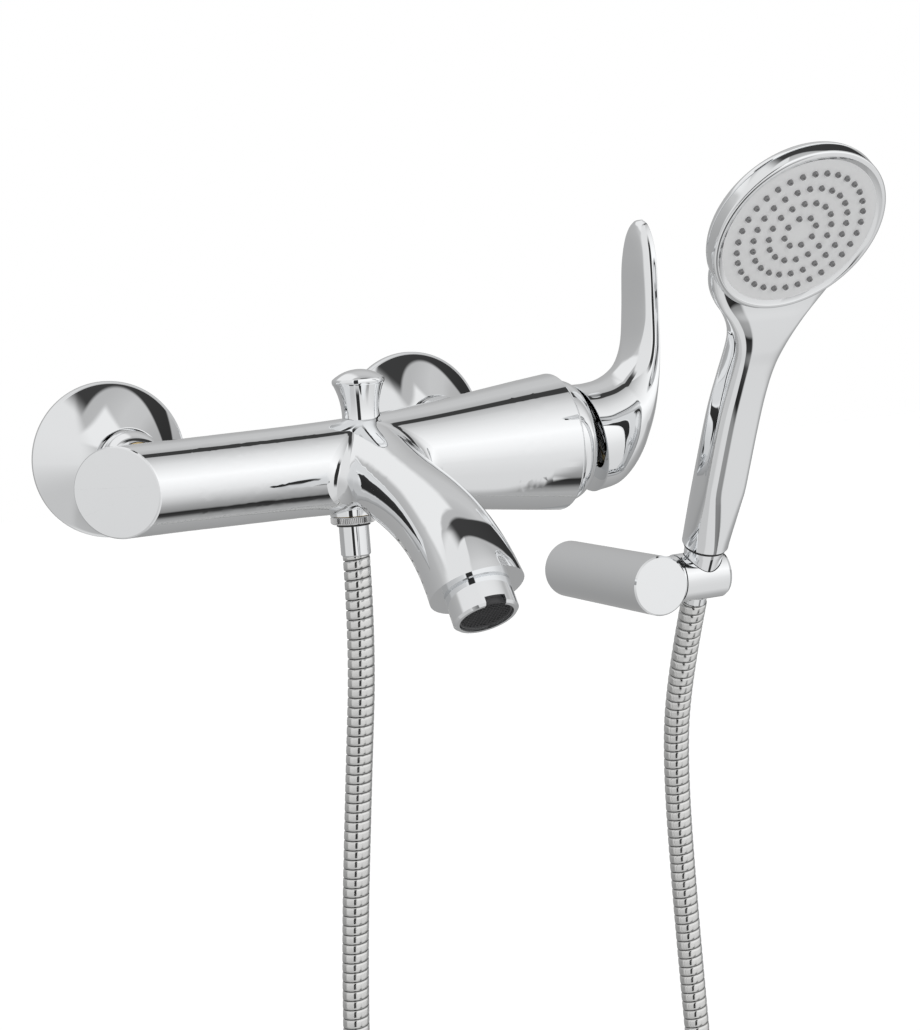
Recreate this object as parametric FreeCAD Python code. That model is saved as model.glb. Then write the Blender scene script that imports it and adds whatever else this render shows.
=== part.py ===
import FreeCAD, Part
import math
import os
from FreeCAD import Vector

# Wall-mounted bath mixer with a diverter, a side lever, a hose and a hand shower in a wall holder.
# Millimetres. Origin: centre of the left wall inlet on the wall face.
# X runs to the right along the wall, Y runs into the wall, Z runs up.

os.makedirs("parts", exist_ok=True)

X = Vector(1, 0, 0)
Y = Vector(0, 1, 0)
Z = Vector(0, 0, 1)

# Clearances
running = 0.05
gap = 0.3

# Wall inlets and unions
inlet_spacing = 150.0
wall_thread_r = 10.48
wall_thread_length = 14.0
union_offset = 10.0
union_thread_r = 13.2
union_bore_r = 7.0
union_end_depth = 28.4
groove_start_depth = 0.5
collar_end_depth = 2.5
collar_start_depth = 8.5
washer_thick = 2.0
tail_r = 9.5
tail_flange_r = 12.0
tail_flange_thick = 2.0
tail_screwed_depth = 12.0
nut_flats = 29.0
nut_lip = 2.6
nut_length = 15.0
port_r = 15.0
port_depth = 37.0

# Escutcheons
escutcheon_r = 35.5
escutcheon_depth = 27.0
escutcheon_lip = 2.6
escutcheon_wall = 1.6

# Body
body_y = -57.0
body_drop = 10.6
left_overhang = 17.8
drum_r = 20.3
drum_rise = 1.8
barrel_start_r = 19.0
body_mid_r = 20.6
body_end_r = 32.0
body_end_x = 198.0
disc_chamfer = 0.9
waterway_r = 4.0
hot_chamber_r = 14.5
hot_line = 12.5
mixed_chamber_r = 15.0

# Diverter
diverter_x = 102.0
diverter_bore_r = 7.5
seat_r = 9.2
seat_height = 19.5
knob_top_r = 11.9
knob_base_r = 8.6
knob_height = 23.0
knob_gap = 0.3
knob_hole_depth = 12.0
bush_r = 8.0
rod_r = 3.0
diverter_travel = 9.0
plug_r = 6.6

# Spout
spout_root_r = 20.0
spout_neck_r = 17.6
spout_end_r = 20.3
spout_root_fillet = 9.0
spout_bore_r = 12.2
spout_reach = 111.0
spout_fall = 46.7
outlet_tilt = 34.0
aerator_r = 14.0
aerator_length = 13.0
notch_width = 9.0
notch_depth = 3.4
aerator_thread_r = 12.2
aerator_thread_length = 8.0

# Cartridge and lever
cartridge_r = 20.0
cartridge_start = 160.0
cartridge_neck_r = 15.3
disc_r = 14.5
disc_thick = 4.0
carrier_r = 16.5
lever_pivot_x = 181.0
spindle_half = 4.0
collar_length = 9.0
collar_end_r = 25.6
collar_hole_r = 17.5
hub_r = 25.5
pin_r = 2.0
finger_r = 1.9
bar_start_x = 206.0
bar_grip = 20.0
hub_cavity_r = 16.0
hub_stub_r = 8.0
hub_cavity_depth = 16.0
grub_x = 222.0
grub_r = 2.5
grub_length = 8.0
lever_plug_length = 5.0

# Shower outlet and hose
outlet_x = 94.0
outlet_boss_r = 10.2
hose_r = 6.2
ferrule_r = 6.8
ferrule_length = 12.7
ring_r = 10.2
ring_length = 5.5
nipple_r = 7.9
nipple_bore_r = 4.5

# Holder
holder_x = 230.0
holder_z = -70.0
holder_reach = 92.0
holder_r = 14.0
holder_bore_r = 11.0
cap_thick = 2.0
plate_thick = 3.0
spigot_length = 15.0
screw_hole_r = 2.2
screw_spacing = 9.6
socket_x = 259.0
socket_setback = 15.0
socket_r = 11.5
socket_length = 25.0
pivot_r = 4.0
handle_lean = 26.0

# Hand shower, measured along the handle from the socket's centre
nut_top_s = 14.0
nut_bottom_s = -9.0
nut_top_r = 9.3
nut_bottom_r = 7.5
handle_start_s = 18.0
handle_r = 10.7
handle_neck_r = 9.3
handset_wall = 2.2
head_s = 187.0
head_n = 26.0
head_r = 41.0
head_skirt = 8.0
head_depth = 23.0
head_tilt = 12.8
plate_r = 38.7
rim_depth = 6.0
stem_r = 7.0
stem_bore_r = 4.0
nozzle_ring_step = 7.47
nozzle_r = 1.3
hose_break_r = 26.0

body_z = union_offset - body_drop
port_z = union_offset


def cylinder(radius, start, direction, length):
    return Part.makeCylinder(radius, length, start, direction)


def ring(outer, inner, start, direction, length):
    return cylinder(outer, start, direction, length).cut(
        cylinder(inner, start - direction * 1.0, direction, length + 2.0))


def revolve_points(points, origin, axis, side):
    """A solid of revolution: each point is (radius, distance along the axis)."""
    corners = [origin + axis * along + side * radius for radius, along in points]
    wire = Part.makePolygon(corners + [corners[0]])
    return Part.Face(wire).revolve(origin, axis, 360)


def revolve_edges(edges, origin, axis):
    return Part.Face(Part.Wire(edges)).revolve(origin, axis, 360)


def fuse_all(shapes):
    whole = shapes[0]
    for shape in shapes[1:]:
        whole = whole.fuse(shape)
    return whole.removeSplitter()


def circle_wire(centre, normal, radius):
    return Part.Wire(Part.makeCircle(radius, centre, normal))


def ellipse_wire(centre, first_dir, first_radius, second_dir, second_radius):
    """An ellipse whose seam always lies on first_dir, so that lofted sections do not twist."""
    first = Vector(first_dir) * first_radius
    second = Vector(second_dir) * second_radius
    normal = Vector(first_dir).cross(second_dir)
    placing = FreeCAD.Matrix(first.x, second.x, normal.x, centre.x,
                             first.y, second.y, normal.y, centre.y,
                             first.z, second.z, normal.z, centre.z,
                             0, 0, 0, 1)
    return Part.Wire(Part.makeCircle(1.0).transformGeometry(placing).Edges)


def cap_arc(at, edge_r, edge_height, crown_height):
    """Arc of a round cap centred on the axis, from its edge to its crown; at places (radius, height)."""
    rise = crown_height - edge_height
    ball_r = (edge_r ** 2 + rise ** 2) / (2 * rise)
    middle_r = edge_r / 2
    middle_height = crown_height - abs(ball_r) / ball_r * (abs(ball_r) - math.sqrt(ball_r ** 2 - middle_r ** 2))
    return Part.Arc(at(edge_r, edge_height), at(middle_r, middle_height), at(0, crown_height))


def save(shape, name):
    shape.exportStep("parts/" + name + ".step")


# Body casting: left cross cylinder, flaring barrel, ports, diverter seat, outlet boss and spout

def on_axis(x, up=0.0, back=0.0):
    return Vector(x, body_y + back, body_z + up)


def barrel():
    stations = [(-left_overhang, barrel_start_r), (42.0, barrel_start_r + 1.4), (86.0, body_mid_r + 0.5),
                (128.0, body_mid_r + 3.2), (162.0, body_mid_r + 7.2), (body_end_x - 1.5, body_end_r)]
    points = [on_axis(x, radius) for x, radius in stations]
    curve = Part.BSplineCurve()
    curve.interpolate(points)
    shoulder = on_axis(body_end_x, body_end_r - 1.5)
    corner = on_axis(body_end_x - 0.44, body_end_r - 0.44)
    edges = [curve.toShape(),
             Part.Arc(points[-1], corner, shoulder).toShape(),
             Part.makeLine(shoulder, on_axis(body_end_x)),
             Part.makeLine(on_axis(body_end_x), on_axis(-left_overhang)),
             Part.makeLine(on_axis(-left_overhang), points[0])]
    return revolve_edges(edges, on_axis(0), X)


def left_end():
    front = Vector(-left_overhang, body_y - drum_r - 0.2, body_z + drum_rise)
    drum = cylinder(drum_r, front, Y, 2 * drum_r)
    rim = [edge for edge in drum.Edges
           if edge.Closed and edge.BoundBox.YMax < front.y + 0.01 and edge.BoundBox.YLength < 0.01]
    return drum.makeChamfer(disc_chamfer, rim)


def spout_frame(position):
    """Centre, direction and radius of the spout's section; position is (reach, fall, slope, radius)."""
    reach, fall, slope, radius = position
    centre = Vector(diverter_x, body_y - reach, body_z - fall)
    angle = math.radians(slope)
    direction = Vector(0, -math.cos(angle), -math.sin(angle))
    return centre, direction, radius


spout_stations = [(4.0, -0.5, 12.0, spout_root_r), (26.0, 5.3, 16.0, spout_neck_r + 0.5),
                  (53.0, 13.0, 17.5, spout_neck_r), (77.0, 21.4, 24.0, spout_neck_r + 0.7),
                  (95.5, 32.0, 38.0, spout_neck_r + 1.6),
                  (spout_reach, spout_fall, 90.0 - outlet_tilt, spout_end_r)]


def spout_loft():
    wires = []
    for station in spout_stations:
        centre, direction, radius = spout_frame(station)
        wires.append(circle_wire(centre, direction, radius))
    return Part.makeLoft(wires, True, False)


outlet_centre, outlet_direction, _ = spout_frame(spout_stations[-1])


def port_boss(x):
    return cylinder(port_r, Vector(x, body_y, port_z), Y, -port_depth - body_y)


seat_z = body_z + seat_height
outlet_face_z = body_z - body_mid_r - 1.4
nut_corner_r = nut_flats / math.sqrt(3)
chamber_floor_z = body_z - 12.0
chamber_roof_z = body_z + diverter_travel + 3.0


def spout_root(box):
    """True for the curve where the spout grows out of the barrel."""
    return box.YMin > body_y - body_end_r and box.YMax < body_y - 2 and box.XMax < body_end_x - 20


def body_casting():
    solid = barrel().fuse(spout_loft())
    root = [edge for edge in solid.Edges if spout_root(edge.BoundBox)]
    solid = solid.makeFillet(spout_root_fillet, root)
    solid = solid.fuse(left_end())
    for x in (0, inlet_spacing):
        solid = solid.fuse(port_boss(x))
    solid = solid.fuse(cylinder(outlet_boss_r, on_axis(outlet_x), -Z, body_z - outlet_face_z))
    solid = solid.cut(cylinder(seat_r, Vector(diverter_x, body_y, seat_z), Z, 20))
    tail_depth = port_depth + tail_screwed_depth
    for x in (0, inlet_spacing):
        solid = solid.cut(cylinder(nut_corner_r + gap, Vector(x, -port_depth, port_z), Y, 30))
        solid = solid.cut(cylinder(tail_r, Vector(x, -tail_depth, port_z), Y, 30))
        solid = solid.cut(cylinder(union_bore_r, Vector(x, -tail_depth - 8, port_z), Y, 12))
    hot_end_x = outlet_x - nipple_r - 2.5
    hot_start_x = -left_overhang + 8
    solid = solid.cut(cylinder(hot_chamber_r, on_axis(hot_start_x), X, hot_end_x - hot_start_x))
    hot_line_start = Vector(hot_end_x - 1, body_y + hot_line, body_z - 4)
    solid = solid.cut(cylinder(waterway_r, hot_line_start, X, cartridge_start + 2 - hot_end_x))
    cold_start = Vector(inlet_spacing, -tail_depth - 4, port_z)
    solid = solid.cut(cylinder(waterway_r, cold_start, X, cartridge_start + 1 - inlet_spacing))
    solid = solid.cut(cylinder(waterway_r, on_axis(diverter_x, 0, -5), X, cartridge_start + 1 - diverter_x))
    mixed = cylinder(mixed_chamber_r, on_axis(diverter_x + 14), X, inlet_spacing - 11 - diverter_x - 14)
    solid = solid.cut(mixed.cut(Part.makeBox(60, 30, 60, on_axis(diverter_x, -30, 2.0))))
    solid = solid.cut(cylinder(diverter_bore_r, Vector(diverter_x, body_y, chamber_floor_z), Z,
                               chamber_roof_z - chamber_floor_z))
    solid = solid.cut(cylinder(bush_r, Vector(diverter_x, body_y, chamber_roof_z), Z, 40))
    solid = solid.cut(cylinder(nipple_r, Vector(outlet_x, body_y, outlet_face_z), Z, 7.0))
    solid = solid.cut(cylinder(nipple_bore_r, Vector(outlet_x, body_y, outlet_face_z), Z, 14.0))
    solid = solid.cut(spout_bore())
    solid = solid.cut(cylinder(aerator_thread_r, outlet_centre, outlet_direction * -1, aerator_thread_length + 1.5))
    solid = solid.cut(cylinder(cartridge_r + gap, on_axis(cartridge_start), X, 60))
    return solid


def spout_bore():
    """The water's way along the spout: cored runs between the section centres, and a narrow throat before them."""
    centres = [spout_frame(station)[0] for station in spout_stations[1:]]
    throat = centres[0] - on_axis(diverter_x)
    cores = [cylinder(6.0, on_axis(diverter_x), throat, throat.Length), Part.makeSphere(spout_bore_r, centres[0])]
    for start, end in zip(centres, centres[1:]):
        run = end - start
        cores.append(cylinder(spout_bore_r, start, run, run.Length))
        if end != centres[-1]:
            cores.append(Part.makeSphere(spout_bore_r, end))
    return fuse_all(cores)


# Unions, washers, tails, nuts and escutcheons at the two inlets

def union(x):
    """Eccentric union: wall thread with its relief groove, a collar round both ends, and the raised body thread."""
    wall_end = cylinder(wall_thread_r, Vector(x, -groove_start_depth, 0), Y,
                        groove_start_depth + wall_thread_length)
    groove = cylinder(wall_thread_r - 1.0, Vector(x, -collar_end_depth - 1, 0), Y, collar_end_depth + 1)
    body_end = cylinder(union_thread_r, Vector(x, -union_end_depth, port_z), Y,
                        union_end_depth - collar_start_depth + 1)
    collar_low = -wall_thread_r - 1.2
    collar_high = port_z + union_thread_r + 1.2
    collar_centre = Vector(x, -collar_start_depth, (collar_high + collar_low) / 2)
    collar = cylinder((collar_high - collar_low) / 2, collar_centre, Y, collar_start_depth - collar_end_depth)
    solid = fuse_all([wall_end, groove, collar, body_end])
    solid = solid.cut(cylinder(union_bore_r, Vector(x, -collar_start_depth, 0), Y, 30))
    return solid.cut(cylinder(union_bore_r + 1, Vector(x, -union_end_depth, port_z), Y, union_end_depth - 4))


tail_end_depth = union_end_depth + washer_thick


def washer(x):
    return ring(union_thread_r - gap, union_bore_r, Vector(x, -tail_end_depth, port_z), Y, washer_thick)


def tail(x):
    start = Vector(x, -port_depth - tail_screwed_depth, port_z)
    length = port_depth + tail_screwed_depth - tail_end_depth
    tube = cylinder(tail_r, start, Y, length)
    flange = cylinder(tail_flange_r, Vector(x, -tail_end_depth - tail_flange_thick, port_z), Y, tail_flange_thick)
    return tube.fuse(flange).cut(cylinder(union_bore_r, start, Y, length))


def union_nut(x):
    back = Vector(x, -tail_end_depth - tail_flange_thick - nut_lip, port_z)
    corners = []
    for step in range(7):
        angle = math.radians(60 * step)
        corners.append(back + X * (nut_corner_r * math.cos(angle)) + Z * (nut_corner_r * math.sin(angle)))
    prism = Part.Face(Part.makePolygon(corners)).extrude(Y * nut_length)
    crown = revolve_points([(0, 0), (nut_corner_r - 1.4, 0), (nut_corner_r + 0.6, 2.0),
                            (nut_corner_r + 0.6, nut_length), (0, nut_length)], back, Y, X)
    solid = prism.common(crown)
    solid = solid.cut(cylinder(tail_r + 0.2, back, Y, nut_length))
    return solid.cut(cylinder(union_thread_r, back + Y * nut_lip, Y, nut_length))


def escutcheon(x):
    origin = Vector(x, 0, port_z)

    def at(radius, depth):
        return origin + X * radius - Y * depth

    mouth_r = nut_corner_r + gap
    neck_r = mouth_r + 1.3
    outer = Part.Arc(at(escutcheon_r - 0.6, escutcheon_lip), at(24.6, 12.8), at(neck_r, escutcheon_depth))
    inner = Part.Arc(at(mouth_r, escutcheon_depth), at(24.6 - escutcheon_wall, 12.8 - escutcheon_wall),
                     at(escutcheon_r - 0.6 - escutcheon_wall, escutcheon_lip - 1.0))
    edges = [Part.makeLine(at(escutcheon_r - escutcheon_wall - 0.6, 0), at(escutcheon_r, 0)),
             Part.makeLine(at(escutcheon_r, 0), at(escutcheon_r, escutcheon_lip - 0.8)),
             Part.makeLine(at(escutcheon_r, escutcheon_lip - 0.8), at(escutcheon_r - 0.6, escutcheon_lip)),
             outer.toShape(),
             Part.makeLine(at(neck_r, escutcheon_depth), at(mouth_r, escutcheon_depth)),
             inner.toShape(),
             Part.makeLine(at(escutcheon_r - 0.6 - escutcheon_wall, escutcheon_lip - 1.0),
                           at(escutcheon_r - escutcheon_wall - 0.6, 0))]
    return revolve_edges(edges, origin, Y)


# Diverter

rod_bottom_z = chamber_floor_z + 1.5
knob_base_z = seat_z + knob_gap


def diverter_bush():
    start = Vector(diverter_x, body_y, chamber_roof_z)
    return ring(bush_r, rod_r + running, start, Z, seat_z - chamber_roof_z)


def diverter_knob():
    base = Vector(diverter_x, body_y, knob_base_z)

    def at(radius, up):
        return base + X * radius + Z * up

    under_edge = at(knob_top_r - 0.6, knob_height * 0.70)
    edge = at(knob_top_r - 0.3, knob_height * 0.82)
    waist = Part.Arc(at(knob_base_r, 0.6), at(knob_base_r + 0.4, knob_height * 0.37), under_edge)
    rounding = Part.Arc(under_edge, at(knob_top_r, knob_height * 0.76), edge)
    crown = cap_arc(at, knob_top_r - 0.3, knob_height * 0.82, knob_height)
    edges = [Part.makeLine(at(0, 0), at(knob_base_r - 0.4, 0)),
             Part.makeLine(at(knob_base_r - 0.4, 0), at(knob_base_r, 0.6)),
             waist.toShape(), rounding.toShape(), crown.toShape(),
             Part.makeLine(at(0, knob_height), at(0, 0))]
    solid = revolve_edges(edges, base, Z)
    return solid.cut(cylinder(rod_r, base, Z, knob_hole_depth))


def diverter_rod():
    return cylinder(rod_r, Vector(diverter_x, body_y, rod_bottom_z), Z, knob_base_z + knob_hole_depth - rod_bottom_z)


def diverter_plug():
    base = Vector(diverter_x, body_y, rod_bottom_z)
    profile = [(rod_r, 0), (plug_r - 1.6, 0), (plug_r, 1.6), (plug_r, 4.4), (plug_r - 1.6, 6.0), (rod_r, 6.0)]
    return revolve_points(profile, base, Z, X)


# Aerator

def aerator_housing():
    thread = cylinder(aerator_thread_r, outlet_centre, outlet_direction * -1, aerator_thread_length)
    skirt = revolve_points([(0, 0), (aerator_r - 0.8, 0), (aerator_r, 0.8), (aerator_r, aerator_length - 1.0),
                            (aerator_r - 1.0, aerator_length), (0, aerator_length)],
                           outlet_centre, outlet_direction, X)
    solid = thread.fuse(skirt)
    bore_start = outlet_centre - outlet_direction * aerator_thread_length
    solid = solid.cut(cylinder(aerator_r - 3.6, bore_start, outlet_direction, aerator_thread_length + aerator_length))
    seat_start = outlet_centre + outlet_direction * (aerator_length - 5.0)
    solid = solid.cut(cylinder(aerator_r - 2.4, seat_start, outlet_direction, 5.0))
    across = outlet_direction.cross(X)
    notch = Part.makeBox(notch_width, 6.0, notch_depth + 1)
    notch.Placement = FreeCAD.Placement(
        outlet_centre + outlet_direction * (aerator_length - notch_depth) - across * (aerator_r + 2.0),
        FreeCAD.Rotation(X, across, outlet_direction, "ZXY"))
    notch.translate(X * (-notch_width / 2))
    return solid.cut(notch)


def aerator_insert():
    start = outlet_centre + outlet_direction * (aerator_length - 5.0)
    disc = cylinder(aerator_r - 2.4, start, outlet_direction, 3.6)
    across = outlet_direction.cross(X)
    holes = []
    for ring_number in range(1, 4):
        count = 6 * ring_number
        for step in range(count):
            angle = 2 * math.pi * step / count
            offset = X * (2.9 * ring_number * math.cos(angle)) + across * (2.9 * ring_number * math.sin(angle))
            holes.append(cylinder(0.95, start - outlet_direction + offset, outlet_direction, 6.0))
    return disc.cut(Part.makeCompound(holes))


def aerator_seal():
    start = outlet_centre - outlet_direction * (aerator_thread_length + 1.5)
    return ring(aerator_thread_r, aerator_r - 3.6, start, outlet_direction, 1.5)


# Cartridge

base_end_x = cartridge_start + 6.2
fixed_disc_end_x = base_end_x + disc_thick
moving_disc_end_x = fixed_disc_end_x + disc_thick - 0.5
housing_end_x = 188.0
nut_end_x = 196.0


def cartridge_housing():
    start = on_axis(cartridge_start + gap)
    solid = cylinder(cartridge_r, start, X, housing_end_x - cartridge_start - gap)
    solid = solid.fuse(cylinder(cartridge_neck_r, on_axis(housing_end_x - 1), X, nut_end_x + 1 - housing_end_x))
    solid = solid.cut(cylinder(disc_r + gap, on_axis(base_end_x), X, fixed_disc_end_x - base_end_x + 0.1))
    solid = solid.cut(cylinder(carrier_r + gap, on_axis(fixed_disc_end_x), X, 14.6))
    solid = solid.cut(cylinder(12.6, on_axis(fixed_disc_end_x), X, 60))
    for up, back in ((-4.0, 8.0), (6.0, 8.0), (0.0, -6.0)):
        solid = solid.cut(cylinder(waterway_r, on_axis(cartridge_start, up, back), X, 7.0))
    return solid


def fixed_disc():
    solid = cylinder(disc_r, on_axis(base_end_x), X, disc_thick)
    for up, back in ((-4.0, 8.0), (6.0, 8.0), (0.0, -6.0)):
        solid = solid.cut(cylinder(waterway_r, on_axis(base_end_x, up, back), X, disc_thick))
    return solid


def moving_disc():
    """Slides on the fixed disc; a channel on its left face joins the ports, and the bar's finger sits in its right."""
    start_x = fixed_disc_end_x + running
    solid = cylinder(disc_r - 3.5, on_axis(start_x), X, moving_disc_end_x - start_x)
    solid = solid.cut(cylinder(6.0, on_axis(start_x), X, 1.2))
    return solid.cut(cylinder(finger_r + 0.7, on_axis(moving_disc_end_x - 1.6), X, 2.0))


carrier_start_x = moving_disc_end_x + gap
carrier_end_x = fixed_disc_end_x + 14.2


def carrier():
    """The rotor that turns with the lever; the lever's bar tilts in its slot on the cross pin."""
    solid = cylinder(carrier_r, on_axis(carrier_start_x), X, carrier_end_x - carrier_start_x)
    solid = solid.fuse(cylinder(12.3, on_axis(carrier_end_x - 1), X, 6.0))
    slot = Part.makeBox(40, 2 * spindle_half + 0.6, 22.0)
    slot.translate(on_axis(carrier_start_x + 2.0, -11.0, -spindle_half - gap))
    window = Part.makeBox(4.0, 2 * finger_r + 1.2, 8.4)
    window.translate(on_axis(carrier_start_x - 1.0, -finger_r - 1.0, -finger_r - 0.6))
    solid = solid.cut(slot).cut(window)
    pin = cylinder(pin_r, on_axis(lever_pivot_x, 0, -14.0), Y, 28.0)
    return solid.cut(pin)


def cross_pin():
    return cylinder(pin_r, on_axis(lever_pivot_x, 0, -13.0), Y, 26.0)


def lever_bar():
    """Square bar from the cartridge into the lever, round at its foot where the pin goes through."""
    foot = cylinder(spindle_half + 0.5, on_axis(lever_pivot_x, 0, -spindle_half), Y, 2 * spindle_half)
    bar = Part.makeBox(bar_start_x + bar_grip - lever_pivot_x, 2 * spindle_half, 2 * spindle_half)
    bar.translate(on_axis(lever_pivot_x, -spindle_half, -spindle_half))
    hole = cylinder(pin_r + running, on_axis(lever_pivot_x, 0, -spindle_half - 1), Y, 2 * spindle_half + 2)
    finger = cylinder(finger_r, on_axis(moving_disc_end_x - 1.2), X, lever_pivot_x - moving_disc_end_x)
    return fuse_all([foot, bar, finger]).cut(hole)


def retaining_nut():
    solid = ring(cartridge_r, cartridge_neck_r + 0.2, on_axis(housing_end_x), X, nut_end_x - housing_end_x)
    for angle in (0, 90, 180, 270):
        cutter = Part.makeBox(2.0, 4.0, 8.0)
        cutter.translate(on_axis(nut_end_x - 1.6, cartridge_r - 3.0, -2.0))
        cutter.rotate(on_axis(0), X, angle)
        solid = solid.cut(cutter)
    return solid


def collar_ring():
    """Domed cover between the body's end and the lever."""
    start = on_axis(body_end_x)

    def at(radius, along):
        return start + Z * radius + X * along

    root_r = body_end_r - 3.4
    middle = at((root_r + collar_end_r) / 2 + 1.1, collar_length * 0.55)
    dome = Part.Arc(at(root_r, 0.8), middle, at(collar_end_r, collar_length))
    edges = [Part.makeLine(at(collar_hole_r, -1.6), at(cartridge_r, -1.6)),
             Part.makeLine(at(cartridge_r, -1.6), at(cartridge_r, 0)),
             Part.makeLine(at(cartridge_r, 0), at(root_r, 0)),
             Part.makeLine(at(root_r, 0), at(root_r, 0.8)),
             dome.toShape(),
             Part.makeLine(at(collar_end_r, collar_length), at(collar_hole_r, collar_length)),
             Part.makeLine(at(collar_hole_r, collar_length), at(collar_hole_r, -1.6))]
    return revolve_edges(edges, start, X)


# Lever: pairs of points on its inner and outer outline, with half its width there, seen from the front.
# Each is (inner x, inner up, outer x, outer up, half width), up from the body's axis.

lever_outline = [(208.5, 25.5, 219.0, -25.0, hub_r),
                 (216.0, 25.6, 231.0, -22.0, 25.2),
                 (224.0, 26.8, 241.0, -11.0, 24.0),
                 (231.5, 29.8, 247.0, 5.0, 21.5),
                 (237.5, 35.0, 249.8, 23.5, 18.6),
                 (241.2, 43.5, 251.5, 42.0, 16.2),
                 (242.6, 58.0, 252.6, 58.0, 15.0),
                 (243.6, 76.0, 253.6, 76.0, 14.2),
                 (245.2, 91.0, 253.8, 91.0, 12.0),
                 (248.4, 100.0, 252.8, 100.0, 6.5)]


def lever_loft():
    wires = []
    for inner_x, inner_up, outer_x, outer_up, half_width in lever_outline:
        inner = on_axis(inner_x, inner_up)
        outer = on_axis(outer_x, outer_up)
        centre = (inner + outer) * 0.5
        half = (inner - outer) * 0.5
        along = Vector(half).normalize()
        wires.append(ellipse_wire(centre, Y, half_width, along, half.Length))
    return Part.makeLoft(wires, True, False)


def lever_handle():
    """Hub and blade in one casting; the hub is hollow behind, round the stub that takes the bar."""
    solid = lever_loft()
    solid = solid.cut(ring(hub_cavity_r, hub_stub_r, on_axis(bar_start_x), X, hub_cavity_depth))
    pocket = Part.makeBox(bar_grip, 2 * spindle_half, 2 * spindle_half)
    pocket.translate(on_axis(bar_start_x, -spindle_half, -spindle_half))
    solid = solid.cut(pocket)
    solid = solid.cut(cylinder(grub_r, on_axis(grub_x, -spindle_half), -Z, 40.0))
    return solid


def lever_grub():
    solid = cylinder(grub_r, on_axis(grub_x, -spindle_half), -Z, grub_length)
    hexagon = []
    for step in range(7):
        angle = math.radians(60 * step)
        hexagon.append(on_axis(grub_x + 1.4 * math.cos(angle), -spindle_half - grub_length, 1.4 * math.sin(angle)))
    return solid.cut(Part.Face(Part.makePolygon(hexagon)).extrude(Z * 3.0))


def lever_plug():
    return cylinder(grub_r, on_axis(grub_x, -spindle_half - grub_length - 6.0), -Z, lever_plug_length)


# Shower outlet: nipple, knurled nut, washer and ferrule

ring_top_z = outlet_face_z - gap
ring_bottom_z = ring_top_z - ring_length
ferrule_bottom_z = ring_bottom_z - ferrule_length


def outlet_nipple():
    top = Vector(outlet_x, body_y, outlet_face_z + 7.0)
    return ring(nipple_r, nipple_bore_r, top, -Z, 9.5)


def hose_ring():
    top = Vector(outlet_x, body_y, ring_top_z)
    solid = revolve_points([(0, 0), (ring_r - 0.6, 0), (ring_r, 0.6), (ring_r, ring_length - 0.6),
                            (ring_r - 0.6, ring_length), (0, ring_length)], top, -Z, X)
    solid = solid.cut(cylinder(nipple_r, top, -Z, ring_length - 0.9))
    return solid.cut(cylinder(nipple_bore_r + 0.6, top, -Z, ring_length + 1))


def outlet_washer():
    top = Vector(outlet_x, body_y, outlet_face_z - 2.5)
    return ring(nipple_r - 0.3, nipple_bore_r + 0.6, top, -Z, ring_length - 0.9 + gap - 2.5)


def ferrule_low():
    top = Vector(outlet_x, body_y, ring_bottom_z)
    solid = revolve_points([(0, 0), (ferrule_r - 0.5, 0), (ferrule_r, 0.5), (ferrule_r, ferrule_length - 0.5),
                            (ferrule_r - 0.5, ferrule_length), (0, ferrule_length)], top, -Z, X)
    collar = cylinder(nipple_bore_r + 0.5, top, Z, 0.9)
    bore = cylinder(3.5, top + Z * 2, -Z, ferrule_length - 2)
    return solid.fuse(collar).cut(bore)


# Holder on the wall, with a socket that tilts on a cross bolt

holder_axis = Vector(holder_x, 0, holder_z)
socket_y = socket_setback - holder_reach
tilt_centre = Vector(socket_x, socket_y, holder_z)
arm_end_x = socket_x - socket_length / 2 - gap
boss_side_r = socket_r - 0.5
grub_hole_r = 2.0
grub_depth = 12.0


def holder_plate():
    disc = cylinder(holder_bore_r - running, holder_axis, -Y, plate_thick)
    wall = ring(holder_bore_r - running, holder_bore_r - 2.2, holder_axis - Y * (plate_thick - 0.5), -Y, spigot_length)
    solid = disc.fuse(wall)
    for up in (-screw_spacing / 2, screw_spacing / 2):
        solid = solid.cut(cylinder(screw_hole_r, holder_axis + Z * up + Y, -Y, plate_thick + 2))
    return solid.cut(cylinder(grub_hole_r, holder_axis - Y * grub_depth, -Z, 20.0))


def holder_tube():
    solid = cylinder(holder_r, holder_axis, -Y, holder_reach - cap_thick)
    side = tilt_centre - X * (socket_x - holder_x)
    solid = solid.fuse(cylinder(boss_side_r, side, X, arm_end_x - holder_x))
    solid = solid.cut(cylinder(holder_bore_r, holder_axis, -Y, holder_reach - 6.0))
    solid = solid.cut(cylinder(pivot_r + running, side, X, 40.0))
    return solid.cut(cylinder(grub_hole_r, holder_axis - Y * grub_depth, -Z, 20.0))


def holder_cap():
    start = holder_axis - Y * (holder_reach - cap_thick)
    return revolve_points([(0, 0), (holder_r, 0), (holder_r, cap_thick - 0.7), (holder_r - 0.7, cap_thick),
                           (0, cap_thick)], start, -Y, X)


def holder_grub():
    return cylinder(grub_hole_r, holder_axis - Y * grub_depth - Z * (holder_bore_r - 2.2), -Z, 4.4)


handle_up = Vector(0, -math.sin(math.radians(handle_lean)), math.cos(math.radians(handle_lean)))
handle_front = Vector(0, -math.cos(math.radians(handle_lean)), -math.sin(math.radians(handle_lean)))


def on_handle(s, n=0.0):
    return tilt_centre + handle_up * s + handle_front * n


def cone(extra):
    """The conical nut's outside, grown by extra for the socket's hole."""
    return Part.makeCone(nut_bottom_r + extra, nut_top_r + extra, nut_top_s - nut_bottom_s,
                         on_handle(nut_bottom_s), handle_up)


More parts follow.
